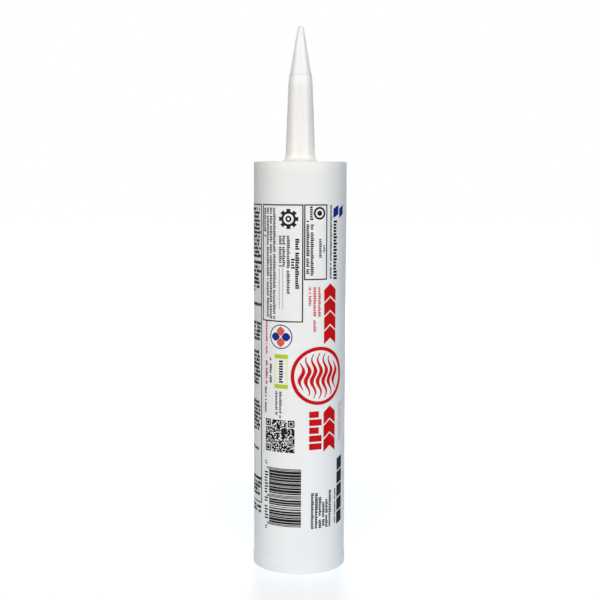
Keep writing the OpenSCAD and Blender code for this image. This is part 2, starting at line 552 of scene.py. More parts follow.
@dataclass(frozen=True)
class FilledPlastic(MouldedPlastic):
    """The same plastic as a thin wall: paste dims it from behind, the nozzle is lighter and glossier, and
    painted highlights and a painted shade line run up the nozzle.
    """

    nozzle_smooth: float
    nozzle_mm: Span
    tones: tuple[tuple[float, float, Colour], ...]

    @staticmethod
    def above(sheet: SurfaceSheet, start_mm: float, end_mm: float) -> Socket:
        """Adds a blend that rises from 0 to 1 between two heights in millimetres."""
        return sheet.spread(sheet.parts(sheet.where)["Z"], (start_mm * MM, end_mm * MM))

    def tone(self, sheet: SurfaceSheet) -> Socket:
        """Adds the colour of the filled wall, and the tones that follow it further up, among them painted
        highlights and a painted shade line.

        Args:
            sheet: sheet of the material.

        Returns:
            The colour.
        """
        tone = super().tone(sheet)
        for start_mm, end_mm, colour in self.tones:
            tone = sheet.mixed(self.above(sheet, start_mm, end_mm), tone, opaque(colour))
        return tone

    def polish(self, sheet: SurfaceSheet) -> Socket:
        """Adds the roughness of the rubbed wall, and the smoother one of the nozzle."""
        nozzle = self.above(sheet, *self.nozzle_mm)
        return sheet.mixed(nozzle, super().polish(sheet), self.nozzle_smooth, "FLOAT")


@dataclass(frozen=True)
class ScreenInk:
    """Thin screen ink: nearly even, with a mottle where it lies thinner and a satin skin."""

    MOTTLE_MM, MOTTLE_DETAIL, MOTTLE_SPAN = 0.5, 4.0, (0.5, 0.8)
    SKIN_MM, SKIN_STRENGTH, SKIN_DEPTH_MM = 0.25, 0.3, 0.01
    SMOOTHEST, ROUGHEST, GLOSS = 0.45, 0.6, 0.05

    name: str
    colour: Colour
    thin: Colour
    slot: str

    def material(self) -> bpy.types.Material:
        """Makes the material.

        Returns:
            The node material.
        """
        sheet = SurfaceSheet(self.name)
        mottle = sheet.spread(sheet.noise(self.MOTTLE_MM, self.MOTTLE_DETAIL), self.MOTTLE_SPAN)
        skin = sheet.noise(self.SKIN_MM)
        feeds = {
            "Base Color": sheet.mixed(mottle, opaque(self.colour), opaque(self.thin)),
            "Roughness": sheet.spread(skin, low=self.SMOOTHEST, high=self.ROUGHEST),
            "Normal": sheet.bump(skin, self.SKIN_STRENGTH, self.SKIN_DEPTH_MM),
            "Specular IOR Level": self.GLOSS,
        }
        return sheet.close(sheet.out("ShaderNodeBsdfPrincipled", feeds))


@dataclass(frozen=True)
class DampPaste:
    """Thick grey paste with a damp sheen and soft lumps."""

    LUMP_MM, LUMP_DETAIL, LUMP_STRENGTH, LUMP_DEPTH_MM = 6.0, 4.0, 0.5, 0.4
    SHEEN_MM, SMOOTHEST, ROUGHEST = 1.5, 0.22, 0.4

    name: str
    colour: Colour
    drift: Colour

    def material(self) -> bpy.types.Material:
        """Makes the material.

        Returns:
            The node material.
        """
        sheet = SurfaceSheet(self.name)
        lumps = sheet.noise(self.LUMP_MM, self.LUMP_DETAIL)
        sheen = sheet.noise(self.SHEEN_MM)
        feeds = {
            "Base Color": sheet.mixed(sheet.spread(lumps), opaque(self.colour), opaque(self.drift)),
            "Roughness": sheet.spread(sheen, low=self.SMOOTHEST, high=self.ROUGHEST),
            "Normal": sheet.bump(lumps, self.LUMP_STRENGTH, self.LUMP_DEPTH_MM),
        }
        return sheet.close(sheet.out("ShaderNodeBsdfPrincipled", feeds))


# Tones up the moulding: the first is a painted highlight under the shoulder, the second a painted highlight
# on the shoulder's top and the nozzle's foot, the third the nozzle's own colour; below, the first is a
# painted highlight on the tip cone and the second a painted shade line under the ring step.
SHOULDER_HIGHLIGHT_TONE, FOOT_HIGHLIGHT_TONE, SHAFT_TONE = (0.888, 0.884, 0.879), (0.965, 0.96, 0.955), (0.882, 0.874, 0.87)
TIP_HIGHLIGHT_TONE, RING_SHADE_TONE = (0.93, 0.937, 0.955), (0.865, 0.868, 0.875)
PLUNGER_PLASTIC = MouldedPlastic(
    name="natural plunger plastic",
    colour=(0.8, 0.81, 0.79),
    drift=(0.76, 0.77, 0.75),
    smooth=0.48,
    rubbed=0.6,
    grain_mm=0.45,
    grain_depth_mm=0.02,
    glow=0.25,
    glow_mm=1.5,
    gloss=0.35,
)
PASTE = DampPaste("grey sealant paste", (0.55, 0.56, 0.57), (0.47, 0.48, 0.49))


class Ink(Enum):
    """The inks of the print, each with its finish."""

    BLACK = ScreenInk("black ink", (0.01, 0.01, 0.011), (0.018, 0.018, 0.02), "black_ink")
    RED = ScreenInk("red ink", (0.56, 0.001, 0.003), (0.6, 0.004, 0.01), "red_ink")
    ORANGE = ScreenInk("orange red ink", (0.72, 0.1, 0.05), (0.76, 0.14, 0.08), "red_ink")
    MAUVE = ScreenInk("pale red ink", (0.68, 0.36, 0.42), (0.72, 0.44, 0.48), "red_ink")
    NAVY = ScreenInk("navy blue ink", (0.001, 0.014, 0.23), (0.003, 0.02, 0.25), "blue_ink")
    BLUE = ScreenInk("bright blue ink", (0.006, 0.02, 0.22), (0.012, 0.03, 0.26), "blue_ink")
    LIME = ScreenInk("lime green ink", (0.44, 0.6, 0.025), (0.49, 0.64, 0.045), "green_ink")
    PALE_GREEN = ScreenInk("pale green ink", (0.75, 0.83, 0.52), (0.78, 0.84, 0.6), "green_ink")


@dataclass
class Moulding:
    """Barrel, shoulder and nozzle, moulded in one and open at the rear. Sizes are in millimetres."""

    barrel_r: float
    rim_r: float
    rim_bore_r: float
    shoulder_z: float
    tip_z: float
    shoulder_wall: float = 1.8
    shoulder_round: float = 0.6
    bore_fillet: float = 1.2
    rim_length: float = 5.0
    rim_blend: float = 3.0
    rim_round: float = 0.4
    foot_r: float = 7.95
    foot_fillet: float = 3.5
    knee_r: float = 6.3
    knee_blend: float = 50.0
    tip_length: float = 27.8
    tip_r: float = 1.45
    tip_round: float = 1.0
    tip_plug: float = 4.0
    tip_bore_r: float = 0.8
    nozzle_wall: float = 1.2
    mouth_round: float = 3.0
    ring_rise: float = 3.74
    ring_step: float = 0.12
    segments: int = 192

    @classmethod
    def from_frame(cls) -> "Moulding":
        """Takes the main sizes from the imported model."""
        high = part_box("barrel")[1]
        return cls(
            barrel_r=MOUNTS["barrel_outside"]["dims"]["r_mm"],
            rim_r=high.x / MM,
            rim_bore_r=MOUNTS["rear_bore"]["dims"]["r_mm"],
            shoulder_z=MOUNTS["shoulder_face"]["pos_m"][2] / MM,
            tip_z=high.z / MM,
        )

    @property
    def knee_z(self) -> float:
        """Height of the knee between the nozzle's two tapers."""
        return self.tip_z - self.tip_length

    @property
    def ring_z(self) -> float:
        """Height of the fine moulding step above the knee."""
        return self.knee_z + self.ring_rise

    def section(self) -> Section:
        """Draws the section from the blind end of the bore, out over the rear rim and up to the tip."""
        wall = self.rim_r - self.rim_bore_r
        bore_r = self.barrel_r - wall
        bore_top = self.shoulder_z - self.shoulder_wall
        rim_top = self.rim_length + self.rim_blend
        cone = (self.knee_r - self.ring_step - self.tip_r) / self.tip_length
        ring_r = self.knee_r - cone * self.ring_rise
        blind_z = self.tip_z - self.tip_plug
        corners = (
            Corner(0.0, blind_z),
            Corner(self.tip_bore_r, blind_z),
            Corner(self.knee_r - self.nozzle_wall, self.knee_z),
            Corner(self.foot_r - self.nozzle_wall, bore_top, self.mouth_round),
            Corner(bore_r, bore_top, self.bore_fillet),
            Corner(bore_r, rim_top),
            Corner(self.rim_bore_r, self.rim_length),
            Corner(self.rim_bore_r, 0.0, self.rim_round),
            Corner(self.rim_r, 0.0, self.rim_round),
            Corner(self.rim_r, self.rim_length),
            Corner(self.barrel_r, rim_top),
            Corner(self.barrel_r, self.shoulder_z, self.shoulder_round),
            Corner(self.foot_r, self.shoulder_z, self.foot_fillet),
            Corner(self.knee_r, self.knee_z, self.knee_blend),
            Corner(ring_r, self.ring_z),
            Corner(ring_r - self.ring_step, self.ring_z),
            Corner(self.tip_r, self.tip_z, self.tip_round),
            Corner(0.0, self.tip_z),
        )
        return Section(corners, self.segments)

    def plastic(self) -> FilledPlastic:
        """Gives the finish, whose tones follow the levels of the moulding, with painted highlights at the
        shoulder, the foot and the tip, and a painted shade line under the ring step.

        Returns:
            The white plastic.
        """
        foot, knee, ring = self.shoulder_z, self.knee_z, self.ring_z
        return FilledPlastic(
            name="white barrel plastic",
            colour=(0.86, 0.86, 0.857),
            drift=(0.845, 0.845, 0.845),
            smooth=0.48,
            rubbed=0.6,
            grain_mm=0.6,
            grain_depth_mm=0.01,
            glow=0.12,
            glow_mm=1.2,
            gloss=0.12,
            nozzle_smooth=0.25,
            nozzle_mm=(foot + 0.3, foot + 1.8),
            tones=(
                # Painted highlight: a lighter band on the wall just under the shoulder's edge.
                (foot - 6.5, foot - 2.0, SHOULDER_HIGHLIGHT_TONE),
                # Painted highlight on the shoulder's top and on the flare at the nozzle's foot, which face
                # up.
                (foot - 0.8, foot + 0.2, FOOT_HIGHLIGHT_TONE),
                (foot + 1.6, foot + 4.6, SHAFT_TONE),
                # Painted highlight: the tip cone above the knee is lighter than the shaft, as if lit from
                # above.
                (knee - 4.7, knee + 0.3, TIP_HIGHLIGHT_TONE),
                # Painted shade: a darker line just below the ring step.
                (ring - 1.44, ring - 1.04, RING_SHADE_TONE),
                # The tip's painted highlight again, above the painted shade line.
                (ring - 0.44, ring - 0.04, TIP_HIGHLIGHT_TONE),
            ),
        )

    def build(self) -> bpy.types.Object:
        """Turns the section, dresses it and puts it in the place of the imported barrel.

        Returns:
            The finished piece.
        """
        values = {"Material": self.plastic().material()}
        piece = self.section().turned(turning_recipe(), "cartridge_barrel", values)
        return mounted(piece, "barrel", "barrel_plastic", "barrel")


@dataclass
class Plunger:
    """Cup with two sealing lips, a hub and ribs that carry the gun's pusher. Sizes are in millimetres."""

    rear_z: float
    front_z: float
    lip_r: float
    skirt_wall: float = 1.4
    front_web: float = 2.2
    lip_length: float = 2.2
    waist_depth: float = 0.7
    lip_edge: float = 0.8
    groove_width: float = 1.3
    groove_floor: float = 0.9
    cup_fillet: float = 1.5
    hub_r: float = 6.0
    hub_wall: float = 1.4
    rib_count: int = 8
    rib_wall: float = 1.2
    rib_recess: float = 1.0
    edge_round: float = 0.2
    draft: float = 1.0
    segments: int = 160

    @classmethod
    def from_frame(cls) -> "Plunger":
        """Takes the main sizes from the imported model."""
        low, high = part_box("plunger")
        return cls(rear_z=low.z / MM, front_z=high.z / MM, lip_r=high.x / MM)

    @property
    def web_z(self) -> float:
        """Height of the web's rear face."""
        return self.front_z - self.front_web

    @property
    def rib_z(self) -> float:
        """Height of the rear edge of the ribs and the hub."""
        return self.rear_z + self.rib_recess

    def section(self) -> Section:
        """Draws the section from the middle of the rear, over hub and skirt, to the middle of the front."""
        edge = self.edge_round
        waist_r = self.lip_r - self.waist_depth
        cup_r = waist_r - self.skirt_wall
        slope = math.tan(math.radians(self.draft))
        hub_bore_r = self.hub_r - self.hub_wall
        groove_r = self.lip_r - self.lip_edge
        rear_lip = self.rear_z + self.lip_length
        front_lip = self.front_z - self.lip_length
        corners = (
            Corner(0.0, self.web_z),
            Corner(hub_bore_r, self.web_z, edge),
            Corner(hub_bore_r + slope * (self.web_z - self.rib_z), self.rib_z, edge),
            Corner(self.hub_r, self.rib_z, edge),
            Corner(self.hub_r, self.web_z, edge),
            Corner(cup_r, self.web_z, self.cup_fillet),
            Corner(cup_r + slope * (self.web_z - self.rear_z), self.rear_z, edge),
            Corner(self.lip_r, self.rear_z, edge),
            Corner(self.lip_r, rear_lip, edge),
            Corner(waist_r, rear_lip + self.waist_depth, edge),
            Corner(waist_r, front_lip - self.waist_depth, edge),
            Corner(self.lip_r, front_lip, edge),
            Corner(self.lip_r, self.front_z, edge),
            Corner(groove_r, self.front_z, edge),
            Corner(groove_r - self.groove_width, self.web_z + self.groove_floor, edge),
            Corner(groove_r - self.groove_width, self.front_z, edge),
            Corner(0.0, self.front_z),
        )
        return Section(corners, self.segments)

    def build(self) -> bpy.types.Object:
        """Turns the cup, sets its ribs in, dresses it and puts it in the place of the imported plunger.

        Returns:
            The finished piece.
        """
        seat = 2 * self.edge_round
        start = self.hub_r - self.hub_wall / 2
        end = self.lip_r - self.waist_depth - self.skirt_wall / 2
        values = {
            "Rib Count": self.rib_count,
            "Rib Start": start * MM,
            "Rib Length": (end - start) * MM,
            "Rib Wall": self.rib_wall * MM,
            "Rib Height": (self.web_z + seat - self.rib_z) * MM,
            "Rib Rear": self.rib_z * MM,
            "Rib Round": self.edge_round * MM,
            "Material": PLUNGER_PLASTIC.material(),
        }
        piece = self.section().turned(ribbed_recipe(), "cartridge_plunger", values)
        return mounted(piece, "plunger", "plunger_plastic", "plunger")


@dataclass
class Paste:
    """The sealant before the plunger, which shortens as the plunger comes. Sizes are in millimetres."""

    radius: float
    rear_z: float
    front_z: float
    front_round: float = 1.2
    rear_round: float = 0.4
    left_over: float = 1.3
    segments: int = 128

    @classmethod
    def from_frame(cls) -> "Paste":
        """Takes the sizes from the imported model."""
        low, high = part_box("sealant")
        return cls(radius=high.x / MM, rear_z=low.z / MM, front_z=high.z / MM)

    def section(self) -> Section:
        """Draws the section from the middle of the rear face to the middle of the front."""
        corners = (
            Corner(0.0, self.rear_z),
            Corner(self.radius, self.rear_z, self.rear_round),
            Corner(self.radius, self.front_z, self.front_round),
            Corner(0.0, self.front_z),
        )
        return Section(corners, self.segments)

    def build(self) -> bpy.types.Object:
        """Turns the section, dresses it and puts it in the place of the imported sealant.

        Returns:
            The finished piece.
        """
        piece = self.section().turned(turning_recipe(), "sealant_filling", {"Material": PASTE.material()})
        mounted(piece, "barrel", "sealant_paste", "sealant")
        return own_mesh(piece)


class FlatArt:
    """Flat artwork of one ink, in millimetres round the barrel from its front and up from a foot line."""

    STEP = 1.0
    FOOT_LINE = 0.75
    STYLE = ("line_height", "line_stroke", "line_gap")

    def __init__(self) -> None:
        """Starts with an empty sheet."""
        self.art = bmesh.new()
        self.style = [self.art.verts.layers.float.new(name) for name in self.STYLE]

    @staticmethod
    def polar(centre: Flat, radius: float, angle: float) -> Flat:
        """Gives the point at a radius and an angle from a centre."""
        return (centre[0] + radius * math.cos(angle), centre[1] + radius * math.sin(angle))

    def vertex(self, point: Flat) -> bmesh.types.BMVert:
        """Adds a point of the artwork."""
        return self.art.verts.new((point[0] * MM, 0.0, (point[1] + self.FOOT_LINE) * MM))

    def line(self, path: Sequence[Flat], height: float, stroke: float = 0.7, gap: float = 0.08) -> None:
        """Adds a line of plain blocks that stands for text, with the letters' tops on the left of its path.

        Args:
            path: the base line, from its start to its end.
            height: height of the letters.
            stroke: width of a block as a share of the letter pitch.
            gap: share of the letters that are left out between words.
        """
        points = [self.vertex(point) for point in path]
        for point in points:
            for layer, value in zip(self.style, (height * MM, stroke, gap)):
                point[layer] = value
        for start, end in zip(points, points[1:]):
            self.art.edges.new((start, end))

    def text(self, base: float, top: float, foot: float, height: float, **style: float) -> None:
        """Adds a line of text down the barrel, from top to foot, with its base line at that place."""
        self.line([(base, top), (base, foot)], height, **style)

    def face(self, corners: Sequence[bmesh.types.BMVert]) -> None:
        """Adds one face that looks out of the barrel.

        Args:
            corners: its corners in order.
        """
        sides = zip(corners, [*corners[1:], corners[0]])
        turn = sum(v.co.x * w.co.z - w.co.x * v.co.z for v, w in sides)
        self.art.faces.new(corners if turn > 0 else corners[::-1])

    def band(self, left: Sequence[Flat], right: Sequence[Flat], closed: bool = False) -> None:
        """Adds a field between two lines with as many points each.

        Args:
            left: points of the first line.
            right: points of the second line.
            closed: whether the lines are loops.
        """
        widest = max(math.dist(a, b) for a, b in zip(left, right))
        across = max(1, math.ceil(widest / self.STEP))
        rows = []
        for a, b in zip(left, right):
            run = (b[0] - a[0], b[1] - a[1])
            row = [(a[0] + run[0] * i / across, a[1] + run[1] * i / across) for i in range(across + 1)]
            rows.append([self.vertex(point) for point in row])
        if closed:
            rows.append(rows[0])
        for low, high in zip(rows, rows[1:]):
            for i in range(across):
                self.face((low[i], low[i + 1], high[i + 1], high[i]))

    def panel(self, left: float, right: float, foot: float, top: float) -> None:
        """Adds a plain rectangle between its four sides."""
        self.band([(left, foot), (left, top)], [(right, foot), (right, top)])

    def outline(self, left: float, right: float, foot: float, top: float, line: float) -> None:
        """Adds the frame of a box.

        Args:
            left: left side, at the middle of the line.
            right: right side.
            foot: lower side.
            top: upper side.
            line: width of the line.
        """
        steps = math.ceil((right - left) / self.STEP)
        loops = []
        for grow in (-line / 2, line / 2):
            sides = [left - grow + (right - left + 2 * grow) * i / steps for i in range(steps + 1)]
            loops.append([(s, foot - grow) for s in sides] + [(s, top + grow) for s in reversed(sides)])
        self.band(*loops, closed=True)

    def ring(self, centre: Flat, radius: float, line: float, points: int = 48) -> None:
        """Adds a ring.

        Args:
            centre: its centre.
            radius: radius at the middle of the line.
            line: width of the line.
            points: number of points round it.
        """
        angles = [math.tau * i / points for i in range(points)]
        radii = (radius - line / 2, radius + line / 2)
        self.band(*([self.polar(centre, r, a) for a in angles] for r in radii), closed=True)

    def lens(
        self, foot: float, top: float, middle: Callable[[float], float], half: Callable[[float], float],
        points: int = 24,
    ) -> None:
        """Adds an upright field that has a middle line and a width at each height.

        Args:
            foot: its lowest height.
            top: its highest height.
            middle: gives its middle, round the barrel, at a share of its height.
            half: gives half its width at a share of its height.
            points: number of steps up it.
        """
        shares = [(1 - math.cos(math.pi * i / points)) / 2 for i in range(points + 1)]
        heights = [foot + (top - foot) * share for share in shares]
        left = [(middle(t) - half(t), z) for t, z in zip(shares, heights)]
        right = [(middle(t) + half(t), z) for t, z in zip(shares, heights)]
        self.band(left, right)

    def disc(self, centre: Flat, radius: float) -> None:
        """Adds a full disc."""
        self.lens(
            centre[1] - radius,
            centre[1] + radius,
            lambda share: centre[0],
            lambda share: radius * math.sqrt(max(0.0, 1 - (2 * share - 1) ** 2)),
        )

    def mesh(self, name: str) -> bpy.types.Mesh:
        """Ends the sheet: points of its fields that fall together become one, so no wall stands between them.

        Args:
            name: name of the mesh.

        Returns:
            The artwork as a mesh in metres.
        """
        fields = [point for point in self.art.verts if point.link_faces]
        bmesh.ops.remove_doubles(self.art, verts=fields, dist=WELD)
        mesh = bpy.data.meshes.new(name)
        self.art.to_mesh(mesh)
        self.art.free()
        return mesh


@dataclass
class BarrelPrint:
    """Plain print on the barrel: boxes, blocks for text, codes and figures. Sizes are in millimetres."""

    barrel_r: float
    ink_height: float = 0.03
    ink_depth: float = 0.02
    frame_line: float = 0.65
    top_z: float = 193.0
    letter_pitch: float = 0.58
    tall_share: float = 0.5
    low_height: float = 0.76
    seed: int = 11
    sheets: dict[Ink, FlatArt] = field(default_factory=lambda: {ink: FlatArt() for ink in Ink})

    def directions(self) -> None:
        """Panel of directions at the left, in rows that run round the barrel and end beside the boxes."""
        black = self.sheets[Ink.BLACK]
        draw = random.Random(self.seed)
        left, right, foot, line = -66.0, -23.3, 35.0, 0.65
        height, pitch, margin = 1.65, 2.05, 0.9
        style = {"stroke": 0.88, "gap": 0.1}
        last_short, other_short = (4.0, 26.0), (0.0, 2.5)
        bar, bar_tops = 1.5, (163.6, 48.6)
        paragraphs = {192.6: 14, 162.2: 7, 142.6: 2, 132.6: 6, 117.2: 10, 90.6: 9, 65.6: 2, 47.2: 5}
        black.outline(left, right, foot, self.top_z, line)
        for top in bar_tops:
            black.panel(left + line / 2, right - line / 2, top - bar, top)
        for top, rows in paragraphs.items():
            for row in range(rows):
                level = top - margin - height - pitch * row
                short = draw.uniform(*(last_short if row == rows - 1 else other_short))
                black.line([(left + margin, level), (right - margin - short, level)], height, **style)
        for level in (31.6, 29.4):
            black.line([(left, level), (right - margin, level)], height, **style)

    def toothed_wheel(self, centre: Flat) -> None:
        """Wheel with teeth round it and a ring at its hub.

        Args:
            centre: its centre.
        """
        black = self.sheets[Ink.BLACK]
        rim_r, rim_line, hub_r, hub_line = 3.3, 1.2, 1.15, 0.9
        teeth, reach, half = 8, (3.85, 5.2), 0.22
        black.ring(centre, rim_r, rim_line)
        black.ring(centre, hub_r, hub_line)
        for number in range(teeth):
            turn = math.tau * number / teeth
            edges = (turn - half, turn + half)
            black.band(*([black.polar(centre, r, angle) for r in reach] for angle in edges))

    def listing_box(self) -> None:
        """Large box with a toothed wheel, headings and lines of text."""
        black = self.sheets[Ink.BLACK]
        black.outline(-21.7, 1.4, 133.2, self.top_z, self.frame_line)
        self.toothed_wheel((-6.0, 185.9))
        black.text(-2.4, 175.4, 150.7, 2.0, stroke=0.78, gap=0.06)
        black.text(-4.5, 165.2, 161.0, 1.9, stroke=0.78, gap=0.0)
        black.text(-6.8, 177.0, 148.0, 1.6, gap=0.06)
        for base in (-9.2, -11.1):
            black.text(base, 177.0, 161.8, 1.6, gap=0.08)
            black.text(base, 160.5, 139.8, 0.5, stroke=0.45, gap=0.0)
        ends = {-14.6: (191.2, 134.7), -16.7: (191.2, 134.7), -18.8: (191.2, 135.5), -20.9: (191.0, 177.0)}
        for base, (top, foot) in ends.items():
            black.text(base, top, foot, 1.45)

    def class_box(self) -> None:
        """Smaller box with a ring and short lines."""
        black = self.sheets[Ink.BLACK]
        centre, ring_r, ring_line, dot_r = (10.3, 188.8), 2.75, 1.0, 1.35
        black.outline(2.4, 14.5, 155.0, self.top_z, self.frame_line)
        black.ring(centre, ring_r, ring_line)
        black.disc(centre, dot_r)
        black.text(5.1, 191.8, 185.8, 1.8, stroke=0.8, gap=0.0)
        black.text(5.5, 184.7, 157.3, 1.65, stroke=0.75, gap=0.06)
        black.text(3.3, 184.7, 157.3, 1.55, stroke=0.75, gap=0.06)
        black.text(12.5, 172.2, 169.0, 1.2, gap=0.0)
        black.text(10.1, 175.4, 166.4, 1.5, gap=0.08)

    def maker_place(self) -> None:
        """Plain navy mark, a bold line of blocks and a fine one, at the upper right."""
        black, navy = self.sheets[Ink.BLACK], self.sheets[Ink.NAVY]
        foot, top, slant = 186.2, 191.0, 2.0
        for left, right in ((19.0, 22.9), (23.7, 27.6)):
            navy.band([(left, foot), (left, top)], [(right, foot + slant), (right, top + slant)])
        black.text(19.2, 184.4, 155.2, 2.7, stroke=0.72, gap=0.0)
        black.text(16.7, 192.6, 155.4, 1.3)

    def front_band(self) -> None:
        """Red chevrons above and below the roundel, with a bold row of blocks and fine lines beside them."""
        red, mauve = self.sheets[Ink.RED], self.sheets[Ink.MAUVE]
        left, right = 13.2, 21.0
        middle = (left + right) / 2
        point, thick, pitch = 3.2, 6.4, 7.3
        for start, count in ((121.15, 4), (64.35, 3)):
            for foot in (start + pitch * number for number in range(count)):
                low = [(left, foot), (middle, foot + point), (right, foot)]
                high = [(s, z + thick) for s, z in low]
                for i in range(2):
                    red.band([low[i], high[i]], [low[i + 1], high[i + 1]])
        red.text(5.1, 84.6, 67.6, 7.0, stroke=0.82, gap=0.0)
        for base, foot in ((9.7, 136.0), (7.1, 128.3), (4.6, 141.8)):
            red.text(base, 150.6, foot, 1.5)
        for base in (24.2, 25.9):
            mauve.text(base, 89.0, 69.2, 1.0)

    def wave_roundel(self) -> None:
        """Red ring filled with waves that swell towards its middle."""
        red = self.sheets[Ink.RED]
        centre, radius, line, clear = (10.6, 104.8), 14.3, 1.9, 2.3
        pitch, swing, length = 3.2, 1.05, 11.5
        thin, swell = 0.3, 0.85
        ring_points, wave_points = 96, 48
        red.ring(centre, radius, line, ring_points)
        for number in range(-3, 4):
            offset = number * pitch
            reach = math.sqrt((radius - clear) ** 2 - offset ** 2)

            def middle(share: float) -> float:
                """Middle of the wave, round the barrel."""
                return centre[0] + offset + swing * math.sin(math.tau * (2 * share - 1) * reach / length)

            def half(share: float) -> float:
                """Half the width of the wave."""
                return thin + swell * math.sin(math.pi * share) ** 2

            red.lens(centre[1] - reach, centre[1] + reach, middle, half, wave_points)

    def emblem(self) -> None:
        """Two upright orange petals and two level blue ones in a blue ring, with lines of text near them."""
        black, red = self.sheets[Ink.BLACK], self.sheets[Ink.RED]
        orange, blue = self.sheets[Ink.ORANGE], self.sheets[Ink.BLUE]
        side, level = -10.1, 125.2
        root, tip, half = 0.45, 5.4, 2.2
        ring_r, ring_line = 6.1, 0.55
        blue.ring((side, level), ring_r, ring_line)
        for foot, top in ((level + root, level + tip), (level - tip, level - root)):
            orange.lens(foot, top, lambda share: side, lambda share: half * math.sin(math.pi * share))
        reach = (tip - root) / 2
        for middle in (side - root - reach, side + root + reach):
            blue.lens(
                level - half,
                level + half,
                lambda share: middle,
                lambda share: reach * math.sqrt(max(0.0, 1 - abs(2 * share - 1))),
            )
        red.text(-19.6, 132.8, 116.0, 1.35)
        red.text(-19.7, 111.7, 100.1, 1.6, stroke=0.78)
        black.text(-16.8, 113.6, 101.0, 1.4, stroke=0.78)

    def green_box(self) -> None:
        """Two green bars joined by pale sides, with a bold line between them and fine lines near them."""
        black, lime, pale = self.sheets[Ink.BLACK], self.sheets[Ink.LIME], self.sheets[Ink.PALE_GREEN]
        left, right, foot, top = -13.7, -6.1, 98.1, 116.0
        bar, side_bar, gap = 2.2, 1.2, 0.5
        for low in (foot, top - bar):
            lime.panel(left, right, low, low + bar)
        for side in (left, right - side_bar):
            pale.panel(side, side + side_bar, foot + bar + gap, top - bar - gap)
        black.text(-11.0, 112.4, 101.6, 2.2, stroke=0.75, gap=0.0)
        for base in (-10.9, -13.2):
            black.text(base, 96.2, 82.8, 1.4)
        black.text(-20.3, 97.9, 93.2, 1.3)
        black.text(-20.3, 91.2, 84.2, 1.3)

    def matrix_code(self) -> None:
        """Square code of random cells that says nothing, with a square in three of its corners."""
        black = self.sheets[Ink.BLACK]
        draw = random.Random(self.seed)
        cells, left, foot, size, dark = 33, -19.6, 64.4, 17.1, 0.72
        cell, eye, slit = size / cells, 7, 0.005
        line, pupil = 1.3 * cell, (1.9 * cell, 5.1 * cell)
        corners = ((0, 0), (0, cells - eye), (cells - eye, cells - eye))
        for column in range(cells):
            run = 0
            for row in range(cells + 1):
                near_eye = any(a - 1 <= column <= a + eye and b - 1 <= row <= b + eye for a, b in corners)
                if row < cells and not near_eye and draw.random() < dark:
                    run += 1
                elif run:
                    side = left + column * cell
                    black.panel(side, side + cell - slit, foot + (row - run) * cell, foot + row * cell)
                    run = 0
        for column, row in corners:
            side, base = left + column * cell, foot + row * cell
            near, far = line / 2, eye * cell - line / 2
            black.outline(side + near, side + far, base + near, base + far, line)
            near, far = pupil
            black.panel(side + near, side + far, base + near, base + far)

    def bar_code(self) -> None:
        """Bar code of random bars that says nothing, with long bars at its ends and middle."""
        black = self.sheets[Ink.BLACK]
        draw = random.Random(self.seed + 1)
        left, guard_left, right = -17.2, -18.8, 1.0
        foot, module, spread = 24.8, 0.325, 0.3
        guards, halves = (0, 2, 46, 48, 92, 94), ((4, 45), (50, 91))
        bar_widths, gap_widths = (1, 2, 3, 3, 4), (1, 1, 1, 1, 2)
        end_marks, mark_length = (58.7, 23.6), 1.2
        for guard in guards:
            black.panel(guard_left, right, foot + guard * module, foot + (guard + 1 + spread) * module)
        for start, end in halves:
            place = start
            while place < end:
                width = min(draw.choice(bar_widths), end - place)
                black.panel(left, right, foot + place * module, foot + (place + width + spread) * module)
                place += width + draw.choice(gap_widths)
        black.text(-20.5, 52.7, 28.0, 2.6, stroke=0.55, gap=0.06)
        for top in end_marks:
            black.text(-20.1, top, top - mark_length, 1.6, gap=0.0)

    def sender(self) -> None:
        """Block of six short lines and a fine one, with a dark bar of slanted blocks beside it."""
        black = self.sheets[Ink.BLACK]
        starts = {16.9: 42.9, 14.7: 38.4, 12.7: 37.1, 10.6: 40.0, 8.5: 42.3, 6.3: 42.5}
        for base, top in starts.items():
            black.text(base, top, 24.1, 1.55, stroke=0.8, gap=0.05)
        black.text(20.9, 43.3, 25.0, 1.2)
        left, right, foot, top, blocks = 23.0, 27.8, 23.6, 60.0, 5
        gap, slant, overlap = 0.8, 1.4, 0.6
        pitch = (top - foot) / blocks
        for number in range(blocks):
            low = foot + number * pitch
            near_side = [(left, low), (left, low + pitch - gap)]
            far_side = [(right, low + slant), (right, low + pitch + overlap)]
            black.band(near_side, far_side)

    def build(self) -> list[bpy.types.Object]:
        """Draws the artwork and lays each ink on the barrel.

        Returns:
            One piece for each ink.
        """
        for draw in (
            self.directions, self.listing_box, self.class_box, self.maker_place, self.front_band,
            self.wave_roundel, self.emblem, self.green_box, self.matrix_code, self.bar_code, self.sender,
        ):
            draw()
        recipe = print_recipe()
        pieces = []
        for ink, art in self.sheets.items():
            values = {
                "Barrel Radius": self.barrel_r * MM,
                "Ink Height": self.ink_height * MM,
                "Ink Depth": self.ink_depth * MM,
                "Letter Pitch": self.letter_pitch,
                "Tall Share": self.tall_share,
                "Low Height": self.low_height,
                "Seed": self.seed,
                "Material": ink.value.material(),
            }
            name = f"print_{ink.name.lower()}"
            pieces.append(mounted(recipe.run(name, art.mesh(name), values), "barrel", ink.value.slot))
        return pieces


def mounted(piece: bpy.types.Object, body: str, slot: str, *nodes: str) -> bpy.types.Object:
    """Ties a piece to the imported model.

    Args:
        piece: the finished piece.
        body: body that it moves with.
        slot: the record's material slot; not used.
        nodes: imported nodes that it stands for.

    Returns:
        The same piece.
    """
    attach(piece, body)
    if nodes:
        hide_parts(*nodes)
    return piece


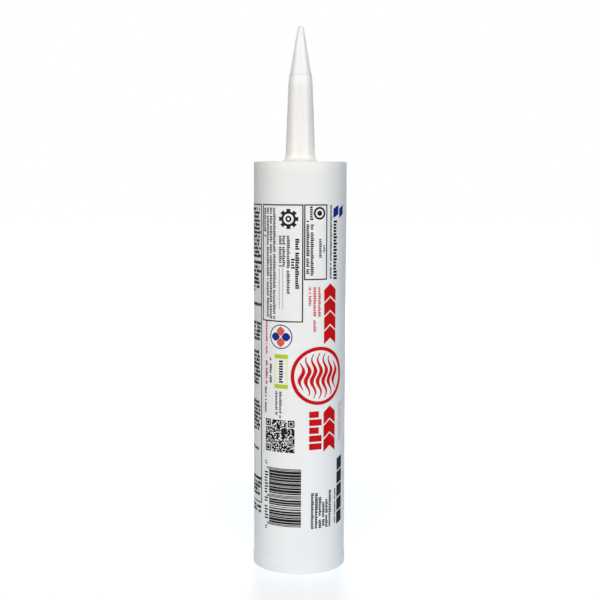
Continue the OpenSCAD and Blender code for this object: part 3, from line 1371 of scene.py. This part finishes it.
@dataclass(frozen=True)
class Softbox:
    """A soft lamp that looks at a point of the cartridge's axis. Sizes are in metres, angles in degrees."""

    name: str
    azimuth: float
    elevation: float
    distance: float
    width: float
    height: float
    power: float
    colour: Colour = (1.0, 1.0, 1.0)
    mirrored: bool = True
    lit: bool = True
    aim_z: float = 0.12

    def build(self) -> None:
        """Hangs the lamp."""
        light = bpy.data.lights.new(self.name, "AREA")
        light.shape = "RECTANGLE"
        light.size = self.width
        light.size_y = self.height
        light.energy = self.power
        light.color = self.colour
        lamp = bpy.data.objects.new(self.name, light)
        turn, rise = math.radians(self.azimuth), math.radians(self.elevation)
        back = Vector((math.sin(turn) * math.cos(rise), -math.cos(turn) * math.cos(rise), math.sin(rise)))
        lamp.location = Vector((0.0, 0.0, self.aim_z)) + back * self.distance
        lamp.rotation_euler = (-back).to_track_quat("-Z", "Y").to_euler()
        lamp.visible_camera = False
        lamp.visible_glossy = self.mirrored
        lamp.visible_diffuse = self.lit
        bpy.context.scene.collection.objects.link(lamp)


@dataclass
class Studio:
    """White room, pale floor, soft lamps and the camera. Sizes are in metres, angles in degrees."""

    lens_mm: float = 65.49
    sensor_mm: float = 36.0
    eye: tuple[float, float, float] = (0.0001, -0.5803, 0.204)
    tilt_down: float = 6.03
    roll: float = 0.2
    floor_half: float = 6.0
    floor_colour: Colour = (0.44, 0.5, 0.56)
    floor_lift: float = 0.665
    lift_reach: Span = (0.15, 0.8)
    floor_bounce: float = 0.42
    bounce_reach: Span = (0.05, 0.5)
    bounce_colour: Colour = (0.62, 0.8, 1.0)
    room_fill: float = 0.01
    softboxes: tuple[Softbox, ...] = (
        Softbox("front left softbox", -20.0, 6.0, 2.0, 0.6, 0.5, 13.1, (1.0, 0.93, 0.84)),
        Softbox("front right softbox", 20.0, 6.0, 2.0, 0.6, 0.5, 12.7, (0.91, 0.95, 1.0)),
        Softbox("left softbox", -90.0, 10.0, 1.5, 0.4, 0.6, 1.1, (1.0, 0.96, 0.93), mirrored=False),
        Softbox("right softbox", 90.0, 10.0, 1.5, 0.4, 0.6, 1.2, (0.8, 0.92, 1.0), mirrored=False),
        Softbox("rear softbox", 180.0, 38.0, 2.0, 0.4, 0.6, 24.0, mirrored=False),
        Softbox("top softbox", 0.0, 62.0, 1.6, 0.6, 0.6, 9.6, (1.0, 0.91, 0.8), mirrored=False),
        Softbox("left sheen strip", -52.0, 14.0, 1.6, 0.35, 1.4, 26.0, lit=False),
        Softbox("right sheen strip", 48.0, 14.0, 1.6, 0.35, 1.4, 36.0, lit=False),
    )

    def camera(self) -> None:
        """Sets up the camera at the photograph's viewing angle."""
        data = bpy.data.cameras.new("camera")
        data.sensor_width = self.sensor_mm
        data.lens = self.lens_mm
        camera = bpy.data.objects.new("camera", data)
        pitch = Matrix.Rotation(math.radians(90.0 - self.tilt_down), 4, "X")
        roll = Matrix.Rotation(math.radians(self.roll), 4, "Z")
        camera.matrix_world = Matrix.Translation(self.eye) @ pitch @ roll
        bpy.context.scene.collection.objects.link(camera)
        bpy.context.scene.camera = camera

    @staticmethod
    def seen(sheet: NodeSheet) -> Socket:
        """Adds the test for what the camera sees, straight or through gloss and glass.

        Args:
            sheet: sheet of the floor's material or of the world.

        Returns:
            1 for such a ray, and 0 for light that falls on the object.
        """
        path = sheet.add("ShaderNodeLightPath").outputs
        either = sheet.math("MAXIMUM", path["Is Camera Ray"], path["Is Glossy Ray"])
        return sheet.math("MAXIMUM", either, path["Is Transmission Ray"])

    def room(self) -> None:
        """Makes the world: white where it is seen, dimmer as fill light."""
        world = bpy.data.worlds.new("white room")
        bpy.context.scene.world = world
        world.use_nodes = True
        world.node_tree.nodes.clear()
        sheet = NodeSheet(world.node_tree)
        fill = sheet.out("ShaderNodeBackground", {"Color": WHITE, "Strength": self.room_fill})
        white = sheet.out("ShaderNodeBackground", {"Color": WHITE, "Strength": 1.0})
        mixed = sheet.out("ShaderNodeMixShader", {0: self.seen(sheet), 1: fill, 2: white})
        sheet.add("ShaderNodeOutputWorld", {"Surface": mixed})

    def floor(self) -> None:
        """Lays the pale floor, which reads as white, keeps the object's shadow and is clear from below."""
        half = self.floor_half
        corners = [(-half, -half, 0.0), (half, -half, 0.0), (half, half, 0.0), (-half, half, 0.0)]
        mesh = bpy.data.meshes.new("floor")
        mesh.from_pydata(corners, [], [(0, 1, 2, 3)])
        sheet = SurfaceSheet("pale floor")
        far = sheet.out("ShaderNodeVectorMath", {0: sheet.where}, "Value", operation="LENGTH")
        lift = sheet.spread(far, self.lift_reach, self.floor_lift, 1.0)
        bounce = sheet.spread(far, self.bounce_reach, self.floor_bounce, 0.0)
        white = sheet.out("ShaderNodeEmission", {"Color": WHITE, "Strength": lift})
        cool = sheet.out("ShaderNodeEmission", {"Color": opaque(self.bounce_colour), "Strength": bounce})
        glow = sheet.out("ShaderNodeMixShader", {0: self.seen(sheet), 1: cool, 2: white})
        paint = sheet.out("ShaderNodeBsdfDiffuse", {"Color": opaque(self.floor_colour)})
        top = sheet.out("ShaderNodeAddShader", {0: paint, 1: glow})
        under = sheet.out("ShaderNodeNewGeometry", key="Backfacing")
        clear = sheet.out("ShaderNodeBsdfTransparent")
        mesh.materials.append(sheet.close(sheet.out("ShaderNodeMixShader", {0: under, 1: top, 2: clear})))
        floor = bpy.data.objects.new("floor", mesh)
        bpy.context.scene.collection.objects.link(floor)

    def build(self) -> None:
        """Sets up the whole studio."""
        bpy.context.scene.view_settings.view_transform = "Standard"
        self.camera()
        self.room()
        self.floor()
        for softbox in self.softboxes:
            softbox.build()


def main() -> None:
    """Builds the studio and the cartridge, and reports each piece."""
    logging.basicConfig(level=logging.INFO, format="%(name)s: %(message)s")
    Studio().build()
    moulding = Moulding.from_frame()
    pieces = [moulding.build(), Plunger.from_frame().build(), Paste.from_frame().build()]
    pieces += BarrelPrint(moulding.barrel_r).build()
    for piece in pieces:
        LOG.info("%s: %d faces", piece.name, len(piece.data.polygons))


if __name__ == "__main__":
    main()
